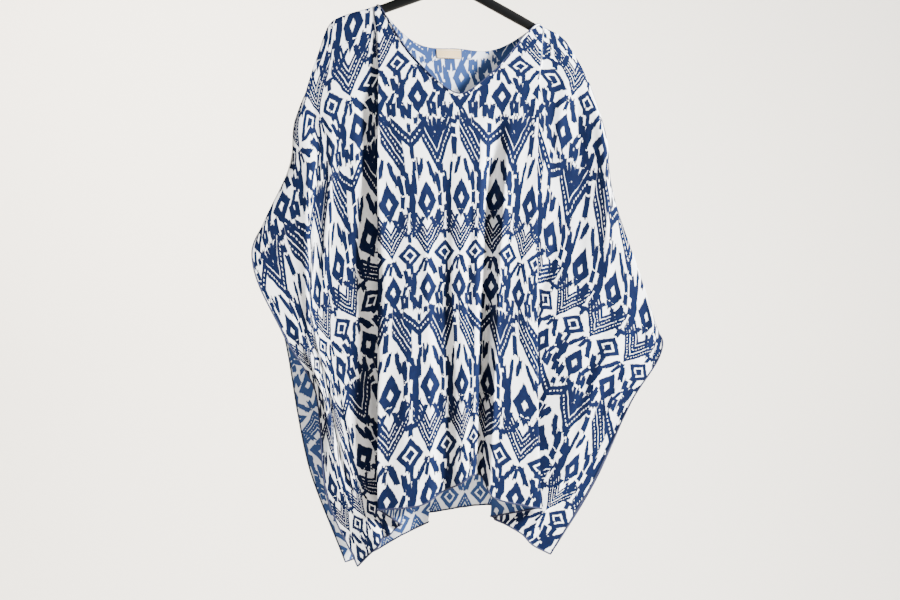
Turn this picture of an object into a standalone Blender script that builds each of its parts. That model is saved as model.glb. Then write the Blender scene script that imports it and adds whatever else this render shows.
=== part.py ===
"""A printed voile kaftan blouse on a plain moulded hanger, as closed solids in metres.

+Z is up and the blouse's front faces -Y. The origin is the inside of the hook's top, where a rail
carries the hanger. The cloth is two rectangles that meet over the shoulders, the front and the back,
with a neck opening cut between them. Each hangs as a thin wall: fold lines run from the shoulder to
the hem, a smooth surface passes through them, and a turn line is a place where the cloth doubles
back on itself. The hanger leans 4.65 degrees, as it hangs on its rail, so the right side is lower.
"""

from dataclasses import dataclass

import bpy
import numpy as np
from mathutils import Matrix

MM = 0.001

# Cloth
WALL = 1.0
SEAM_GAP = 0.3
HALF_WIDTH = 490.0
FRONT_DROP = 820.0
BACK_DROP = 860.0
NECK_HALF_WIDTH = 142.0
NECK_CENTRE = 21.0
FRONT_NECK_DEPTH = 176.0
FRONT_NECK_POWER = 1.5
BACK_NECK_DEPTH = 98.0
BACK_NECK_POWER = 2.6
BAND_WIDTH = 9.0
BAND_WALL = 0.8
BAND_END = 0.9
LABEL_HEIGHT = 15.0
LABEL_COLUMNS = 2.7
LABEL_PLACE = 0.45
LABEL_DROP = 1.5
LABEL_WALL = 0.8

# Hanger
LEAN = np.radians(4.65)
ARM_SLOPE = np.radians(24.65)
ARM_LENGTH = 200.0
ARM_DEPTH = 11.0
ARM_HEIGHT = 16.0
ARM_MEET_DROP = 71.2
ARM_END_HEIGHT = 12.0
HOOK_INNER_RADIUS = 20.0
HOOK_THICKNESS = 7.0
ARM_CLEARANCE = 0.4

# Distances down the cloth, from the shoulder line, of the seven sections that the fold lines name
FRONT_SECTIONS = np.array([0.0, 80.0, 176.0, 332.0, 490.0, 642.0, FRONT_DROP])
BACK_SECTIONS = np.array([0.0, 80.0, 176.0, 332.0, 490.0, 642.0, BACK_DROP])

# Space between the layers of a doubled fold at each section, and how far its two turns stand apart
# where the cloth has not yet doubled
TUCK_GAP = (0.0, 2.0, 3.0, 5.5, 6.5, 8.0, 9.0)
TURN_SPREAD = np.array([1.5, 0.8, 0.0, 0.0, 0.0, 0.0, 0.0])


@dataclass(frozen=True)
class FoldLine:
    """One line down the cloth, with seven values each: shoulder, yoke, bust, waist, hip, thigh, hem.

    thread is the line's place across the flat cloth, from its centre. across, down and depth are its
    place in space: right of the hook, below the hook, and in front (-) or behind (+). turn is 0 on a
    plain line, 1 where the cloth doubles back towards the front and -1 towards the back, from left
    to right. columns is how many mesh columns lead to the line from the one before it.
    """

    name: str
    columns: int
    turn: int
    thread: tuple
    across: tuple
    down: tuple
    depth: tuple
    gap: tuple = TUCK_GAP


FRONT_LINES = (
    FoldLine("left side edge", 0, 0, (-490,) * 7,
             (-232, -288, -337, -286, -230, -217, -163),
             (376, 430, 517, 648, 756, 896, 1031),
             (-3, -3, -14, -20, -16, -24, -20)),
    FoldLine("left wing", 4, 0, (-409,) * 7,
             (-243, -273, -304, -260, -220, -194, -143),
             (297, 372, 455, 637, 749, 886, 1010),
             (-3.5, -5, -14, -18, -23, -27, -26)),
    FoldLine("left ridge", 3, 0,
             (-346, -346, -346, -381, -385, -390, -390),
             (-237, -271, -252, -242, -214, -182, -128),
             (234, 320, 412, 610, 734, 874, 995),
             (-3, -9, -17, -19.5, -23, -27, -30)),
    FoldLine("left crease", 3, 0,
             (-277, -298, -315, -353, -353, -360, -367),
             (-226, -258, -238, -241, -211, -179, -122),
             (184, 295, 385, 592, 727, 868, 985),
             (-3.5, -12, -16, -19, -22.5, -26, -29)),
    FoldLine("left crease, inner", 2, 0,
             (-263, -284, -298, -319, -339, -346, -353),
             (-221, -248, -229, -229, -199, -169, -110),
             (160, 266, 365, 575, 713, 857, 978),
             (-3.5, -10.5, -11.5, -13, -18, -22.5, -26)),
    FoldLine("left wing, inner", 4, 0,
             (-235, -228, -228, -228, -256, -298, -339),
             (-208, -216, -194, -179, -146, -136, -101),
             (142, 244, 343, 520, 667, 825, 969),
             (-5, -9, -10.5, -11, -15, -18, -22)),
    FoldLine("left tuck", 4, 1,
             (-159, -145, -135, -152, -194, -235, -298),
             (-142, -134, -118, -115, -88, -54, -92),
             (114, 198, 280, 465, 614, 784, 964),
             (-8, -9.5, -10.5, -14.5, -18, -22, -26.5)),
    FoldLine("left body edge", 3, 1,
             (-121, -119, -118, -138, -149, -138, -131),
             (-135, -130, -130, -131, -130, -130, -130),
             (111, 188, 269, 439, 591, 751, 940),
             (-9.5, -13.5, -15.5, -19.5, -25, -30, -35.5)),
    FoldLine("left body", 3, 0, (-69,) * 7,
             (-87, -87, -85, -68, -65, -62, -65),
             (94, 175, 266, 434, 578, 726, 934),
             (-10, -14, -17, -24, -31, -38, -45)),
    FoldLine("left of centre", 3, 0, (-14,) * 7,
             (-35, -32, -31, -21, -21, -17, -19),
             (76, 165, 264, 429, 573, 723, 908),
             (-10, -14, -17, -20, -24, -29, -34)),
    FoldLine("centre", 2, 0, (21,) * 7,
             (-1, 2, 4, 6, 2, 7, 6),
             (64, 158, 262, 426, 573, 723, 896),
             (-10, -14, -17, -24, -32, -39, -45)),
    FoldLine("right of centre", 3, 0, (63,) * 7,
             (37, 40, 45, 39, 32, 32, 27),
             (84, 170, 266, 427, 573, 721, 883),
             (-10, -14, -17, -22, -27, -33, -38)),
    FoldLine("recess", 2, 0, (90,) * 7,
             (65, 68, 73, 60, 55, 49, 40),
             (99, 180, 267, 429, 574, 723, 888),
             (-10, -14, -16, -16, -18, -24, -27)),
    FoldLine("right body", 2, 0, (118,) * 7,
             (92, 95, 98, 87, 73, 68, 57),
             (114, 186, 266, 432, 579, 739, 919),
             (-10, -14, -17, -23, -30, -37, -43)),
    FoldLine("right body edge", 3, -1,
             (163, 156, 153, 177, 208, 180, 208),
             (138, 136, 133, 130, 130, 131, 136),
             (140, 195, 257, 446, 597, 766, 937),
             (-9.5, -13.5, -15.5, -19.5, -25, -30, -35.5)),
    FoldLine("right tuck", 3, -1,
             (191, 180, 173, 187, 236, 270, 312),
             (145, 140, 130, 126, 116, 60, 54),
             (144, 198, 271, 452, 620, 789, 952),
             (-8, -9.5, -10.5, -13.5, -14.5, -15, -17)),
    FoldLine("right wing, inner", 4, 0,
             (229, 229, 229, 250, 298, 354, 381),
             (172, 193, 173, 167, 139, 120, 78),
             (157, 226, 322, 513, 660, 808, 965),
             (-7, -10, -9, -10.5, -12, -15, -17)),
    FoldLine("right wing", 4, 0,
             (270, 298, 326, 361, 381, 409, 423),
             (190, 224, 248, 250, 202, 174, 105),
             (193, 259, 363, 573, 703, 850, 978),
             (-3.5, -7, -17, -18, -20, -23, -24)),
    FoldLine("right ridge", 4, 0,
             (381, 381, 388, 444, 444, 451, 461),
             (153, 177, 245, 314, 250, 199, 121),
             (295, 343, 422, 624, 739, 868, 995),
             (-3, -4, -8, -16, -19, -21, -20)),
    FoldLine("right side edge", 4, 0, (490,) * 7,
             (128, 153, 202, 336, 283, 222, 151),
             (396, 482, 574, 663, 762, 891, 1010),
             (-3, -3, -3, -16, -20, -16, -24)),
)

BACK_LINES = (
    FoldLine("left side edge", 0, 0, (-490,) * 7,
             (-232, -286, -333, -288, -266, -250, -186),
             (376, 430, 519, 652, 776, 861, 1031),
             (3, 3, 12, 18, 14, 22, 18)),
    FoldLine("left wing", 4, 0,
             (-409, -400, -400, -400, -400, -400, -400),
             (-243, -270, -296, -257, -224, -194, -141),
             (297, 372, 457, 624, 746, 874, 1016),
             (3, 5, 15, 19, 24, 26, 32)),
    FoldLine("left wing, middle", 3, 0,
             (-283, -305, -310, -310, -310, -310, -310),
             (-225, -254, -237, -210, -182, -154, -112),
             (186, 290, 394, 564, 701, 834, 999),
             (3.5, 9.5, 14.5, 16, 18, 22, 27)),
    FoldLine("left wing, inner", 3, 0,
             (-235, -238, -250, -260, -260, -260, -260),
             (-208, -215, -204, -184, -158, -131, -95),
             (142, 247, 348, 531, 676, 812, 990),
             (6, 8, 9.5, 12, 16, 20, 24)),
    FoldLine("left tuck", 4, -1,
             (-159, -157, -165, -190, -230, -270, -300),
             (-142, -126, -98, -78, -54, -29, -49),
             (116, 196, 277, 454, 614, 776, 969),
             (8, 9.5, 11.5, 16.5, 22, 26, 31)),
    FoldLine("left body edge", 3, -1,
             (-121, -121, -121, -135, -150, -160, -170),
             (-135, -120, -111, -106, -103, -101, -105),
             (111, 191, 271, 437, 597, 756, 959),
             (9.5, 13.5, 16.5, 22, 28.5, 34, 40)),
    FoldLine("left body", 3, 0, (-60,) * 7,
             (-82, -67, -52, -49, -49, -45, -45),
             (92, 178, 267, 434, 594, 751, 957),
             (10, 15, 19, 27, 34, 42, 50)),
    FoldLine("centre", 4, 0, (10,) * 7,
             (-9, -4, -2, 1, 1, 4, 4),
             (66, 162, 269, 434, 594, 751, 947),
             (10, 15, 17, 20, 26, 32, 38)),
    FoldLine("right body", 4, 0, (80,) * 7,
             (54, 57, 60, 57, 54, 57, 54),
             (92, 177, 271, 437, 599, 756, 944),
             (10, 15, 19, 27, 35, 43, 50)),
    FoldLine("right body edge", 3, 1,
             (163, 155, 150, 155, 165, 170, 180),
             (138, 127, 116, 110, 106, 103, 100),
             (140, 205, 277, 449, 607, 766, 957),
             (9.5, 13.5, 16.5, 22, 28.5, 34, 40)),
    FoldLine("right tuck", 3, 1,
             (191, 184, 180, 195, 225, 260, 290),
             (145, 132, 106, 90, 70, 50, 62),
             (144, 214, 290, 462, 624, 789, 964),
             (8, 9.5, 11.5, 16.5, 22, 26, 31)),
    FoldLine("right wing, inner", 4, 0,
             (229, 229, 232, 250, 285, 320, 345),
             (172, 182, 169, 169, 156, 136, 106),
             (157, 228, 318, 507, 657, 805, 983),
             (7, 8, 9.5, 12, 16, 20, 24)),
    FoldLine("right wing, middle", 3, 0,
             (270, 290, 305, 320, 345, 370, 388),
             (190, 205, 200, 229, 199, 167, 124),
             (193, 262, 364, 552, 692, 835, 992),
             (3.5, 9, 15, 16.5, 19, 22, 28)),
    FoldLine("right wing", 3, 0,
             (381, 381, 388, 405, 415, 430, 440),
             (153, 179, 235, 301, 250, 205, 146),
             (295, 343, 416, 607, 734, 871, 1003),
             (3, 2.5, 10, 18, 22, 24, 30)),
    FoldLine("right side edge", 4, 0, (490,) * 7,
             (128, 153, 202, 331, 288, 229, 163),
             (396, 482, 574, 665, 762, 894, 1006),
             (3, 3, 3, 12, 20, 16, 26)),
)


def clear_scene():
    for obj in list(bpy.data.objects):
        bpy.data.objects.remove(obj, do_unlink=True)


def plain_material(name, colour, roughness, metallic=0.0):
    material = bpy.data.materials.new(name)
    material.use_nodes = True
    shader = material.node_tree.nodes["Principled BSDF"]
    shader.inputs["Base Color"].default_value = (*colour, 1.0)
    shader.inputs["Roughness"].default_value = roughness
    shader.inputs["Metallic"].default_value = metallic
    return material


def place(name, points, faces, material):
    """A mesh object of these points, given in millimetres."""
    mesh = bpy.data.meshes.new(name)
    mesh.from_pydata((np.asarray(points) * MM).tolist(), [], faces)
    mesh.update()
    mesh.materials.append(material)
    mesh.shade_smooth()
    obj = bpy.data.objects.new(name, mesh)
    bpy.context.scene.collection.objects.link(obj)
    return obj


def thicken(obj, wall):
    """Gives a sheet its wall, half to each side of it."""
    solidify = obj.modifiers.new("wall", "SOLIDIFY")
    solidify.thickness = wall * MM
    solidify.offset = 0.0
    return obj


def monotone(knots, values, at):
    """A smooth curve through the values with no overshoot: cubic pieces whose slope at a knot is the
    harmonic mean of its two neighbours' slopes, and level where the values turn. The last axis of
    values runs over the knots, and at may be of any shape."""
    knots = np.asarray(knots, float)
    values = np.asarray(values, float)
    steps = np.diff(knots)
    rises = np.diff(values, axis=-1) / steps
    before, after = rises[..., :-1], rises[..., 1:]
    same_way = before * after > 0
    total = np.where(same_way, before + after, 1.0)
    inner = np.where(same_way, 2.0 * before * after / total, 0.0)
    slopes = np.concatenate([rises[..., :1], inner, rises[..., -1:]], axis=-1)
    at = np.clip(np.asarray(at, float), knots[0], knots[-1])
    piece = np.clip(np.searchsorted(knots, at, side="right") - 1, 0, len(steps) - 1)
    width = steps[piece]
    t = (at - knots[piece]) / width
    start, end = values[..., piece], values[..., piece + 1]
    leave, arrive = slopes[..., piece] * width, slopes[..., piece + 1] * width
    return (
        (2 * t**3 - 3 * t**2 + 1) * start
        + (t**3 - 2 * t**2 + t) * leave
        + (3 * t**2 - 2 * t**3) * end
        + (t**3 - t**2) * arrive
    )


def arm_top(x):
    """How far below the hook the cloth lies on the leaning arm, at x right of the hook."""
    meet_x = -ARM_MEET_DROP * np.sin(LEAN)
    meet_down = ARM_MEET_DROP * np.cos(LEAN)
    slope = ARM_SLOPE + np.where(x > meet_x, LEAN, -LEAN)
    seat = (0.5 * ARM_HEIGHT + ARM_CLEARANCE + 0.5 * WALL) / np.cos(slope)
    return meet_down + np.abs(x - meet_x) * np.tan(slope) - seat


def neck_start(thread, depth, power):
    """The neck edge's distance down the cloth: a rounded V, zero at the two neck points."""
    reach = np.clip(np.abs(thread - NECK_CENTRE) / NECK_HALF_WIDTH, 0.0, 1.0)
    return depth * (1.0 - reach**power)


class Panel:
    """One rectangle of cloth as it hangs: a grid of points worked out from its fold lines."""

    def __init__(self, lines, sections, drop, side, neck_depth, neck_power):
        self.sections = sections
        self.drop = drop
        self.side = side
        self.neck = (neck_depth, neck_power)
        self.knots, self.copies = [], []
        thread = np.array([line.thread for line in lines], float)
        across = np.array([line.across for line in lines], float)
        down = np.array([line.down for line in lines], float)
        depth = np.array([line.depth for line in lines], float)
        on_arm = np.abs(thread[:, 0]) < ARM_LENGTH + 40.0
        down[on_arm, 0] = arm_top(across[on_arm, 0])
        way = np.stack([np.gradient(across, axis=0), np.gradient(down, axis=0)])
        way *= TURN_SPREAD / np.hypot(way[0], way[1])
        column = 0
        for i, line in enumerate(lines):
            column += line.columns
            for copy in (-1, 1) if line.turn else (0,):
                column += 2 if copy == 1 else 0
                layer = depth[i] - 0.5 * copy * line.turn * np.array(line.gap)
                place_across = across[i] + copy * way[0, i]
                place_down = down[i] + copy * way[1, i]
                self.knots.append(column)
                self.copies.append((thread[i], place_across, layer, -place_down))
        near = np.array([0.32, 0.66])
        names = [line.name for line in lines for copy in range(2 if line.turn else 1)]
        first = self.knots[names.index("left body edge") + 1]
        last = self.knots[names.index("right body edge")]
        self.columns = np.sort(np.concatenate([np.arange(column + 1), first + near, last - near]))
        self.neck_columns = self.columns[(self.columns >= first) & (self.columns <= last)]

    def grid(self, tau, columns=None):
        """Points (rows, columns, 3) in millimetres, for rows at the fractions tau of the way from
        neck to hem. Near the shoulder line a column follows a quarter circle over the arm."""
        at = self.columns if columns is None else columns
        table = monotone(self.knots, np.moveaxis(np.array(self.copies), 0, -1), at)
        places = []
        for thread, across, depth, up in np.moveaxis(table, -1, 0):
            start = neck_start(thread[0], *self.neck)
            along = start + (self.drop - start) * tau
            radius = abs(depth[0])
            quarter = 0.5 * np.pi * radius
            bend = np.minimum(along / radius, 0.5 * np.pi)
            fallen = np.where(along < quarter, radius * (1 - np.cos(bend)), along - quarter + radius)
            column = monotone(self.sections, np.array([across, depth, up]), fallen)
            column[1] *= np.sin(bend)
            places.append(column)
        points = np.moveaxis(np.array(places), (0, 2), (1, 0))
        first = points[1] - points[0]
        tilt = np.abs(first[:, 2]) / np.linalg.norm(first, axis=1)
        seam = np.abs(points[0, :, 1]) < 0.5 * SEAM_GAP
        points[0, seam, 1] = self.side * 0.5 * (SEAM_GAP + WALL * tilt[seam])
        return points


def quads(rows, columns, flip):
    """The faces of a grid of rows by columns points."""
    index = np.arange(rows * columns).reshape(rows, columns)
    corners = [index[:-1, :-1], index[1:, :-1], index[1:, 1:], index[:-1, 1:]]
    if flip:
        corners.reverse()
    return np.stack([c.ravel() for c in corners], axis=1).tolist()


def row_fractions(rows):
    """Rows of a panel: close together over the shoulder, then even down to the hem."""
    shoulder = np.array([0.0, 0.0025, 0.0065, 0.012, 0.022, 0.055])
    return np.concatenate([shoulder, np.linspace(0.1, 1.0, rows - len(shoulder))])


def normals(points):
    """The unit normals of a grid of points, from its rows' and columns' directions."""
    down = np.gradient(points, axis=0)
    along = np.gradient(points, axis=1)
    normal = np.cross(down, along)
    return normal / np.linalg.norm(normal, axis=-1, keepdims=True)


def panel_object(name, panel, rows, material):
    points = panel.grid(row_fractions(rows))
    faces = quads(points.shape[0], points.shape[1], panel.side > 0)
    return thicken(place(name, points.reshape(-1, 3), faces, material), WALL)


def neck_band(name, panel, material):
    """The narrow turned edge along the neck, lying on the panel's outer side."""
    first, last = panel.neck_columns[0], panel.neck_columns[-1]
    inside = (panel.neck_columns >= first + BAND_END) & (panel.neck_columns <= last - BAND_END)
    columns = panel.neck_columns[inside]
    points = panel.grid(np.linspace(0.0, 1.0, 4) * BAND_WIDTH / panel.drop, columns)
    outward = normals(points)
    outward *= panel.side * np.sign(outward[..., 1:2])
    points = points + outward * (0.5 * WALL + SEAM_GAP + 0.5 * BAND_WALL)
    faces = quads(points.shape[0], points.shape[1], panel.side > 0)
    return thicken(place(name, points.reshape(-1, 3), faces, material), BAND_WALL)


def label_object(panel, material):
    """The small woven label inside the back of the neck, on the panel's inner side."""
    middle = panel.neck_columns[0] + LABEL_PLACE * np.ptp(panel.neck_columns)
    columns = np.linspace(middle - 0.5 * LABEL_COLUMNS, middle + 0.5 * LABEL_COLUMNS, 7)
    points = panel.grid((LABEL_DROP + np.linspace(0.0, LABEL_HEIGHT, 4)) / panel.drop, columns)
    points[..., 1] -= panel.side * (0.5 * WALL + SEAM_GAP + 0.5 * LABEL_WALL)
    faces = quads(points.shape[0], points.shape[1], panel.side > 0)
    return thicken(place("neck_label", points.reshape(-1, 3), faces, material), LABEL_WALL)


def swept(name, path, section_size, material, sides=16):
    """A solid carried along a path in the XZ plane; section_size gives its depth and height there."""
    tangent = np.gradient(path, axis=0)
    tangent /= np.linalg.norm(tangent, axis=1, keepdims=True)
    across = np.stack([-tangent[:, 1], tangent[:, 0]], axis=1)
    angle = np.linspace(0.0, 2.0 * np.pi, sides, endpoint=False)
    round_off = 0.6
    out = np.sign(np.cos(angle)) * np.abs(np.cos(angle)) ** round_off
    up = np.sign(np.sin(angle)) * np.abs(np.sin(angle)) ** round_off
    rings = np.empty((len(path), sides, 3))
    rings[..., 0] = path[:, None, 0] + across[:, None, 0] * up * 0.5 * section_size[:, None, 1]
    rings[..., 1] = out * 0.5 * section_size[:, None, 0]
    rings[..., 2] = path[:, None, 1] + across[:, None, 1] * up * 0.5 * section_size[:, None, 1]
    faces = []
    for ring in range(len(path) - 1):
        for side in range(sides):
            a, b = ring * sides + side, ring * sides + (side + 1) % sides
            faces.append([a, b, b + sides, a + sides])
    faces.append(list(range(sides))[::-1])
    faces.append([(len(path) - 1) * sides + side for side in range(sides)])
    return place(name, rings.reshape(-1, 3), faces, material)


def hanger(material):
    """Two sloping arms and a question-mark hook, moulded in one, leaning on the rail."""
    reach = np.linspace(-ARM_LENGTH, ARM_LENGTH, 33)
    blend = 14.0
    fall = np.sqrt(reach**2 + blend**2) * np.sin(ARM_SLOPE)
    arms = np.stack([reach * np.cos(ARM_SLOPE), -ARM_MEET_DROP - fall], axis=1)
    end = np.clip((ARM_LENGTH - np.abs(reach)) / 12.0, 0.0, 1.0)
    rounding = 0.55 + 0.45 * np.sqrt(1.0 - (1.0 - end) ** 2)
    taper = np.clip(np.abs(reach) / ARM_LENGTH, 0.0, 1.0)
    height = (ARM_HEIGHT + (ARM_END_HEIGHT - ARM_HEIGHT) * taper**4) * rounding
    body = swept("hanger", arms, np.stack([ARM_DEPTH * rounding, height], axis=1), material)

    radius = HOOK_INNER_RADIUS + 0.5 * HOOK_THICKNESS
    join = np.radians(-40.0)
    turn = np.radians(np.linspace(-40.0, 205.0, 26))
    ring = np.stack([radius * np.cos(turn), radius * np.sin(turn) - HOOK_INNER_RADIUS], axis=1)
    foot = np.array([0.0, arms[16, 1] + 2.0])
    lead = 15.0
    controls = np.array([
        foot,
        foot + [0.0, 18.0],
        ring[0] - lead * np.array([-np.sin(join), np.cos(join)]),
        ring[0],
    ])
    t = np.linspace(0.0, 1.0, 9)[:-1, None]
    stem = (
        (1 - t) ** 3 * controls[0]
        + 3 * (1 - t) ** 2 * t * controls[1]
        + 3 * (1 - t) * t**2 * controls[2]
        + t**3 * controls[3]
    )
    path = np.concatenate([stem, ring])
    size = np.full((len(path), 2), HOOK_THICKNESS)
    size[:4] += np.array([3.0, 2.0, 1.2, 0.4])[:, None]
    size[-1] *= 0.6
    hook = swept("hook", path, size, material, 12)
    hook.hide_render = True
    hook.display_type = "WIRE"
    union = body.modifiers.new("moulded hook", "BOOLEAN")
    union.operation = "UNION"
    union.object = hook
    lean = Matrix.Rotation(LEAN, 4, "Y")
    body.matrix_world = lean
    hook.matrix_world = lean
    return body


def main():
    clear_scene()
    cloth = plain_material("printed voile", (0.33, 0.42, 0.62), 0.8)
    band = plain_material("turned neck edge", (0.12, 0.19, 0.42), 0.8)
    woven = plain_material("woven label", (0.86, 0.83, 0.76), 0.7)
    plastic = plain_material("black moulded plastic", (0.02, 0.02, 0.022), 0.45)

    front = Panel(FRONT_LINES, FRONT_SECTIONS, FRONT_DROP, -1, FRONT_NECK_DEPTH, FRONT_NECK_POWER)
    back = Panel(BACK_LINES, BACK_SECTIONS, BACK_DROP, 1, BACK_NECK_DEPTH, BACK_NECK_POWER)
    panel_object("front_panel", front, 25, cloth)
    panel_object("back_panel", back, 22, cloth)
    neck_band("neck_band_front", front, band)
    neck_band("neck_band_back", back, band)
    label_object(back, woven)
    hanger(plastic)


main()
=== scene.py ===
"""The looks of a printed voile kaftan blouse on a black moulded hanger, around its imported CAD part.

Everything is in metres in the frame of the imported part: +Z up, the blouse's front facing -Y and the
origin inside the top of the hanger's hook. The cloth hangs on the same fold lines as the part's
solids, at a finer step, with soft creases added, and its print is worked out from the flat cloth's
own coordinates, so it bends and shears with the cloth.
"""

import logging
import math
from dataclasses import dataclass, field, replace
from enum import Enum
from itertools import starmap

import bpy
import numpy as np
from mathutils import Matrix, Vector


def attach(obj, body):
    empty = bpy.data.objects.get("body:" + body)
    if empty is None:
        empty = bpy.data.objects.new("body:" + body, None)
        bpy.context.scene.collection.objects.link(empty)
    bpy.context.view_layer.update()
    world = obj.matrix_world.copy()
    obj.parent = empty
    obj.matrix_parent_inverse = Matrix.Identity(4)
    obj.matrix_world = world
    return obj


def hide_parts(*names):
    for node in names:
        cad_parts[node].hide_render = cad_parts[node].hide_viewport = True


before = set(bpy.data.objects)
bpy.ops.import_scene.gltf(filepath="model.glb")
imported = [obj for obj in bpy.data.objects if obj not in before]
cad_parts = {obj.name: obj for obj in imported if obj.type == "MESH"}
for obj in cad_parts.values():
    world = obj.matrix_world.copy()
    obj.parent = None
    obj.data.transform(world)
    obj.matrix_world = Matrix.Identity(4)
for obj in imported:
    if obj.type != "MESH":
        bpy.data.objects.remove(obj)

logger = logging.getLogger("blouse")

MM = 0.001

# Cloth, in millimetres
FRONT_DROP = 820.0
BACK_DROP = 860.0
NECK_HALF_WIDTH = 142.0
NECK_CENTRE = 21.0
FRONT_NECK_DEPTH = 176.0
FRONT_NECK_POWER = 1.5
BACK_NECK_DEPTH = 98.0
BACK_NECK_POWER = 2.6
HEM_RADIUS = 1.4
NECK_ROLL_RADIUS = 0.8
# The cloth still follows the arm's slope this far past the arm's end
SHOULDER_OVERHANG = 40.0

# Hanger, in millimetres
LEAN = math.radians(4.65)
ARM_SLOPE = math.radians(24.65)
ARM_LENGTH = 200.0
ARM_DEPTH = 11.0
ARM_HEIGHT = 16.0
ARM_END_HEIGHT = 12.0
ARM_MEET_DROP = 71.2
HOOK_INNER_RADIUS = 20.0
HOOK_THICKNESS = 7.0
ARM_CLEARANCE = 0.9

# Print, in millimetres: the pitch of its columns, the height of its repeat and where it starts below
# the shoulder line
COLUMN_PITCH = 69.3
REPEAT_HEIGHT = 317.0
PRINT_START = 40.0
# Dye runs this far past each mark, and side by side ropes leave this gap
INK_SPREAD = 0.7
ROPE_GAP = 2.4
# Threads shift in groups this wide, anew after each run down the cloth, by up to half of the shifts.
# Brush marks move by the ragged one, ropes and eyes by the neat one, and leaves by some of each.
THREAD_GROUP = 2.6
SHIFT_RUN = 30.0
RAGGED_SHIFT = 15.0
NEAT_SHIFT = 4.0
# The whole print also drifts smoothly, down and across, by up to half of these
WANDER = 8.0
SWAY = 5.0

# Creases, in millimetres: they start below the arm, swell along their length, and a slight ripple
# grows down the cloth between them
CREASE_START = 60.0
CREASE_FADE = 0.3
SWELL_RUN = 47.0
RIPPLE_HEIGHT = 0.7
RIPPLE_WIDTH = 17.0
RIPPLE_BEND = 90.0
RIPPLE_RUN = 130.0
RIPPLE_START = 120.0
RIPPLE_GROWTH = 500.0

# The photograph: its size in pixels, the pixel of the hook's inner top and the scale at the cloth
IMAGE_WIDTH = 900
IMAGE_HEIGHT = 600
ORIGIN_PIXEL = (457.5, -60.0)
MM_PER_PIXEL = 1.65
CAMERA_DISTANCE = 2.2

# Distances down the cloth, from the shoulder line, of the seven sections that the fold lines name
FRONT_SECTIONS = np.array([0.0, 80.0, 176.0, 332.0, 490.0, 642.0, FRONT_DROP])
BACK_SECTIONS = np.array([0.0, 80.0, 176.0, 332.0, 490.0, 642.0, BACK_DROP])

# Space between the layers of a doubled fold at each section, and how far its two turns stand apart
# where the cloth has not yet doubled
TUCK_GAP = (0.0, 2.0, 3.0, 5.5, 6.5, 8.0, 9.0)
TURN_SPREAD = np.array([1.5, 0.8, 0.0, 0.0, 0.0, 0.0, 0.0])


@dataclass(frozen=True)
class FoldLine:
    """One line down the cloth, with seven values each: shoulder, yoke, bust, waist, hip, thigh, hem.

    thread is the line's place across the flat cloth, from its centre. across, down and depth are its
    place in space: right of the hook, below the hook, and in front (-) or behind (+). turn is 0 on a
    plain line, 1 where the cloth doubles back towards the front and -1 towards the back, from left
    to right. columns is how many mesh columns lead to the line from the one before it.
    """

    name: str
    columns: int
    turn: int
    thread: tuple
    across: tuple
    down: tuple
    depth: tuple
    gap: tuple = TUCK_GAP


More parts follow.
